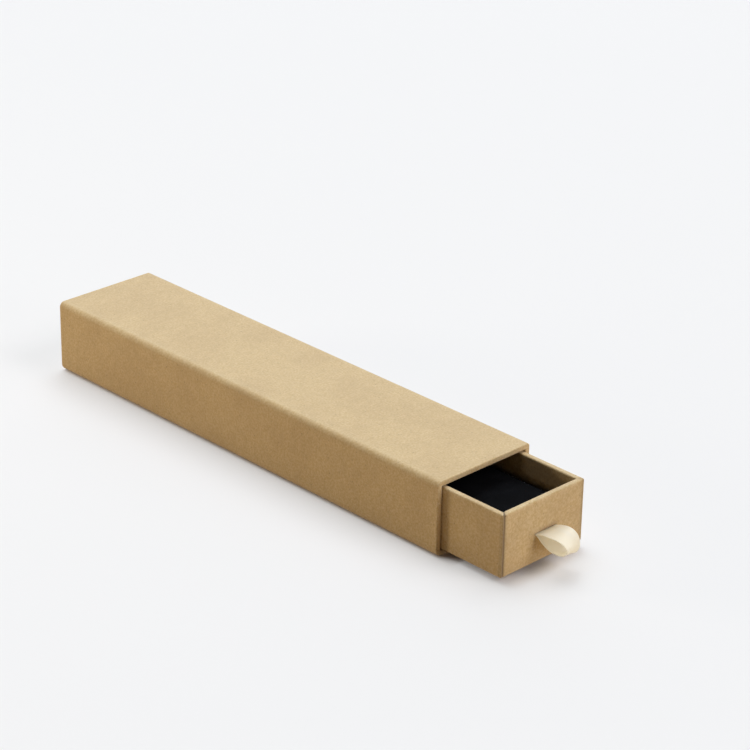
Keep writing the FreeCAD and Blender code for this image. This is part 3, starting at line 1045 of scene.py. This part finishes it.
class GIFT_OT_satin_pull(bpy.types.Operator):
    """Builds the satin ribbon: its loop, and both tails through the slit and down inside"""

    bl_idname = "gift.satin_pull"
    bl_label = "Satin Pull"

    def edge_line(self, shares, sizes, inner):
        """One long edge of the ribbon from tip to tip, as out and up from the slit."""
        half = sizes.thickness / 2
        root_out, root_rise = 0.4 * MM, half + 0.1 * MM
        skin = -0.1 * MM
        tip = tails_low.z - (tails_high.z - sizes.thickness)
        turn, low_turn, turn_steps = 0.45 * MM, 0.22 * MM, 4
        tail_points, loop_points = 60, 130
        behind, low_behind = -inner - 3 * half, -inner - half
        upper_tail = [(behind, tip), (behind, -turn)]
        upper_turn = arc_points((behind + turn, half - turn), turn, 180, 90, turn_steps)
        upper_tail += [place[:2] for place in upper_turn]
        upper_tail += [(-inner / 2, half), (skin, half)]
        lower_tail = [(skin, -half), (-inner / 2, -half)]
        centre = (low_behind + low_turn, -half - low_turn)
        lower_tail += [place[:2] for place in arc_points(centre, low_turn, 90, 180, turn_steps)]
        lower_tail += [(low_behind, -turn * 2), (low_behind, tip)]
        loop = [(root_out, root_rise)]
        loop += [(out * sizes.reach, rise * sizes.reach) for out, rise in shares]
        loop.append((root_out, -root_rise))
        return (
            smooth_line(upper_tail, tail_points) + smooth_line(loop, loop_points)
            + smooth_line(lower_tail, tail_points)
        )

    def execute(self, context):
        sizes = context.scene.gift_ribbon
        front = drawer_low.y
        level = tails_high.z - sizes.thickness
        inner = board_low.y + context.scene.gift_drawer.board - front
        left = self.edge_line(left_edge_shares, sizes, inner)
        right = self.edge_line(right_edge_shares, sizes, inner)

        def placed(x, point):
            return Vector((x, front - point.x, level + point.y))

        lines = [
            [placed(tails_low.x, point) for point in left],
            [placed(tails_high.x, point) for point in right],
        ]
        middle = [(first + second) / 2 for first, second in zip(*lines)]
        travelled = lengths_along(middle)
        width = tails_high.x - tails_low.x
        mesh_source = bmesh.new()
        self.weave(mesh_source, lines, travelled, width, sizes)
        piece = new_piece("satin_pull", mesh_source)
        finish_piece(
            piece, self.satin_material(sizes), None, "satin_ribbon", "pull_ribbon", "ribbon_tails"
        )
        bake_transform(piece)
        return {"FINISHED"}

    def weave(self, mesh_source, lines, travelled, width, sizes):
        """The ribbon's skin between its two long edges, with its threads' places as UVs."""
        front = drawer_low.y
        across_shares = [0.0, 0.008, 0.022, 0.04, 0.055, 0.16, 0.28, 0.40, 0.5]
        across_shares += [1 - part for part in reversed(across_shares[:-1])]
        uv_places = {}
        sections = []
        last = len(travelled) - 1
        for index in range(len(travelled)):
            before, after = max(index - 1, 0), min(index + 1, last)
            section = []
            for side in (1, -1):
                for part in across_shares[::side]:
                    start = lines[0][index].lerp(lines[1][index], part)
                    back = lines[0][before].lerp(lines[1][before], part)
                    ahead = lines[0][after].lerp(lines[1][after], part)
                    across = lines[1][index] - lines[0][index]
                    normal = (ahead - back).cross(across).normalized()
                    outward = side * sizes.thickness * self.half_body(min(part, 1 - part))
                    curl = 4 * part * (1 - part) * smooth_step(front - start.y, 0.5 * MM, 5 * MM)
                    point = start + normal * (outward - sizes.cup * curl)
                    vertex = mesh_source.verts.new(point)
                    uv_places[vertex] = (travelled[index], part * width)
                    section.append(vertex)
            sections.append(section)
        join_rings(mesh_source, sections, sections[1:])
        half_count = len(across_shares)
        for section in (sections[0], sections[-1]):
            for index in range(half_count - 1):
                opposite = 2 * half_count - 1 - index
                mesh_source.faces.new((
                    section[index], section[index + 1], section[opposite - 1], section[opposite],
                ))
        uv_layer = mesh_source.loops.layers.uv.new("thread")
        for face in mesh_source.faces:
            for corner in face.loops:
                corner[uv_layer].uv = uv_places[corner.vert]

    @staticmethod
    def half_body(from_edge):
        """From the ribbon's middle to its skin, as a share of the thickness of its edges."""
        if from_edge == 0:
            return 0.3
        return 0.36 if from_edge > 0.05 else 0.5

    @staticmethod
    def satin_material(sizes):
        """Cream satin: fine threads along the ribbon, and firm woven edges."""
        material, tree, shader, _ = new_material("satin_finish")
        place = add_node(tree, "ShaderNodeUVMap", uv_map="thread").outputs["UV"]
        # Threads to a metre along the ribbon and across it, for the long threads and the weft.
        thread_waves, weft_waves = (90.0, 9000.0, 1.0), (5200.0, 260.0, 1.0)
        along, weft = (
            add_node(tree, "ShaderNodeMapping", {"Vector": place, "Scale": waves}).outputs[0]
            for waves in (thread_waves, weft_waves)
        )
        threads = noise_node(tree, along, 1.0, 2.0, 0.6)
        ribs = noise_node(tree, weft, 1.0, 1.0, 0.5)
        mask = ramp(tree, threads, 0.32, 0.70)
        feed(tree, shader, {
            "Base Color": mix_colour(tree, mask, sizes.shade, sizes.satin),
            "Roughness": ramp(tree, ribs, 0.3, 0.7, 0.30, 0.42), "Specular IOR Level": 0.8,
            "Sheen Weight": 0.3, "Sheen Roughness": 0.35,
        })
        bump_into(tree, shader, math_node(tree, "ADD", threads, ribs), sizes.thread_height)
        through = add_node(tree, "ShaderNodeBsdfTranslucent", {"Color": sizes.glow})
        lay_over(tree, shader, sizes.sheer, through)
        return material


class GIFT_OT_board_and_tape(bpy.types.Operator):
    """Gives the greyboard, lining, stays and patch their papers"""

    bl_idname = "gift.board_and_tape"
    bl_label = "Board, Lining and Tape"

    def execute(self, context):
        paper = context.scene.gift_paper

        def tones(base):
            return base, scaled(base, 1.35, 0.02), scaled(base, 0.55)

        board = paper_material(
            "greyboard_finish", *tones(paper.board), grain=0.5, fibres=0.9, sheen=0.05
        )
        lining = paper_material("lining_finish", *tones(paper.lining), grain=0.3, fibres=0.4)
        tape = paper_material("tape_finish", *tones(paper.tape), grain=0.35, fibres=0.6)
        finishes = {
            "sleeve_board": board, "drawer_board": board, "sleeve_lining": lining,
            "sleeve_seam_tape": tape, "ribbon_patch": tape, "corner_stay_front_left": tape,
            "corner_stay_front_right": tape, "corner_stay_back_left": tape,
            "corner_stay_back_right": tape,
        }
        for node, material in finishes.items():
            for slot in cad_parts[node].material_slots:
                slot.material = material
        return {"FINISHED"}


class GIFT_OT_stage(bpy.types.Operator):
    """Sets out the pale floor, the soft lamps and the camera"""

    bl_idname = "gift.stage"
    bl_label = "Stage"

    def execute(self, context):
        scene = context.scene
        sizes = scene.gift_stage
        self.place_camera(scene, sizes)
        self.lay_floor(sizes)
        self.light_world(scene, sizes)
        # Name, place and side in metres, power and colour.
        lamps = (
            ("key_lamp", (2.7, 1.5, 6.3), 4.2, sizes.key_power, sizes.key),
            ("over_lamp", (-0.3, 1.8, 6.6), 3.0, sizes.over_power, sizes.key),
            ("top_lamp", (0.6, 3.9, 5.7), 2.4, sizes.top_power, sizes.key),
            ("back_lamp", (3.3, 3.45, 2.4), 3.6, sizes.back_power, sizes.key),
            ("front_lamp", (1.5, -4.2, 4.2), 2.4, sizes.front_power, sizes.plain),
            ("fill_lamp", (0.35, -1.5, 0.25), 0.5, sizes.fill_power, sizes.plain),
            ("side_lamp", (-0.45, 0.5, 0.12), 0.2, sizes.side_power, sizes.warm),
        )
        for lamp in lamps:
            self.hang_lamp(*lamp)
        scene.view_settings.view_transform = "Standard"
        return {"FINISHED"}

    @staticmethod
    def place_camera(scene, sizes):
        """The camera stands at the front left, above the box."""
        data = bpy.data.cameras.new("camera")
        data.lens = sizes.lens
        data.sensor_width = 36.0
        data.clip_start, data.clip_end = 0.01, 50.0
        camera = bpy.data.objects.new("camera", data)
        scene.collection.objects.link(camera)
        turn = Matrix.Rotation(sizes.azimuth, 4, "Z")
        tilt = Matrix.Rotation(math.pi / 2 - sizes.elevation, 4, "X")
        lean = Matrix.Rotation(sizes.roll, 4, "Z")
        camera.matrix_world = Matrix.Translation(sizes.stand) @ turn @ tilt @ lean
        scene.camera = camera

    @staticmethod
    def lay_floor(sizes):
        """A wide plain floor under the box. Close to the box its shadow stays deep, and further
        out the backdrop's tone lies over it as a veil."""
        mesh_source = bmesh.new()
        bmesh.ops.create_grid(mesh_source, x_segments=4, y_segments=4, size=sizes.floor_size)
        floor = new_piece("floor", mesh_source)
        floor.location.z = min(sleeve_low.z, 0.0) - 2 * TINY
        material, tree, shader, coordinates = new_material("floor")
        tone = noise_node(tree, coordinates, 0.35)
        shade = mix_colour(tree, tone, sizes.floor, scaled(sizes.floor, 0.985))
        seen = seen_directly(tree)
        shade = mix_colour(tree, seen, sizes.bounce, shade)
        feed(tree, shader, {"Base Color": shade, "Roughness": 0.75, "Specular IOR Level": 0.2})
        veil = add_node(tree, "ShaderNodeEmission", {"Color": sizes.backdrop, "Strength": 1.0})
        way = add_node(tree, "ShaderNodeCombineXYZ", dict(zip("XYZ", sizes.shadow_way)))
        shade_inputs = {"Distance": sizes.shadow_reach, "Normal": way.outputs["Vector"]}
        open_floor = add_node(tree, "ShaderNodeAmbientOcclusion", shade_inputs, samples=8)
        away = ramp(tree, open_floor.outputs["AO"], 0.55, 0.92)
        lay_over(tree, shader, times(tree, times(tree, seen, sizes.veil), away), veil)
        floor.data.materials.append(material)

    @staticmethod
    def light_world(scene, sizes):
        """Soft white light from all round. The camera sees the backdrop's colour instead."""
        world = bpy.data.worlds.new("studio")
        scene.world = world
        world.use_nodes = True
        tree = world.node_tree
        tree.nodes.clear()
        seen = seen_directly(tree)
        white = {"Color": (1.0, 1.0, 1.0), "Strength": sizes.sky_strength}
        sky = add_node(tree, "ShaderNodeBackground", white).outputs[0]
        behind = add_node(tree, "ShaderNodeBackground", {"Color": sizes.backdrop}).outputs[0]
        both = add_node(tree, "ShaderNodeMixShader", {0: seen, 1: sky, 2: behind})
        add_node(tree, "ShaderNodeOutputWorld", {"Surface": both.outputs[0]})

    @staticmethod
    def hang_lamp(name, place, size, watts, tint):
        """A square soft lamp that points at the box."""
        data = bpy.data.lights.new(name, "AREA")
        data.size = size
        data.energy = watts
        data.color = tint
        lamp = bpy.data.objects.new(name, data)
        bpy.context.scene.collection.objects.link(lamp)
        lamp.location = place
        lamp.rotation_mode = "QUATERNION"
        lamp.rotation_quaternion = (-Vector(place)).to_track_quat("-Z", "Y")
        lamp.visible_camera = False


class GIFT_PT_panel(bpy.types.Panel):
    """The steps of the gift box, in the order that they are run"""

    bl_idname = "GIFT_PT_panel"
    bl_label = "Gift Box"
    bl_space_type = "VIEW_3D"
    bl_region_type = "UI"
    bl_category = "Gift Box"

    def draw(self, context):
        column = self.layout.column()
        for operator in operators:
            column.operator(operator.bl_idname)
        for group in settings:
            column.separator()
            values = getattr(context.scene, group)
            for name in values.__annotations__:
                column.prop(values, name)


settings = {
    "gift_paper": PaperSettings,
    "gift_sleeve": SleeveSettings,
    "gift_drawer": DrawerSettings,
    "gift_pad": PadSettings,
    "gift_ribbon": RibbonSettings,
    "gift_stage": StageSettings,
}
operators = (
    GIFT_OT_stage,
    GIFT_OT_sleeve_cover,
    GIFT_OT_drawer_cover,
    GIFT_OT_pad,
    GIFT_OT_satin_pull,
    GIFT_OT_board_and_tape,
)


def register():
    """Registers the settings, the operators and the panel."""
    for group, kind in settings.items():
        bpy.utils.register_class(kind)
        setattr(bpy.types.Scene, group, PointerProperty(type=kind))
    for kind in (*operators, GIFT_PT_panel):
        bpy.utils.register_class(kind)


def unregister():
    """Takes them all out again."""
    for kind in (GIFT_PT_panel, *reversed(operators)):
        bpy.utils.unregister_class(kind)
    for group, kind in settings.items():
        delattr(bpy.types.Scene, group)
        bpy.utils.unregister_class(kind)


def main():
    """Runs every step in order."""
    register()
    bpy.ops.gift.stage()
    bpy.ops.gift.sleeve_cover()
    bpy.ops.gift.drawer_cover()
    bpy.ops.gift.pad()
    bpy.ops.gift.satin_pull()
    bpy.ops.gift.board_and_tape()


if __name__ == "__main__":
    main()
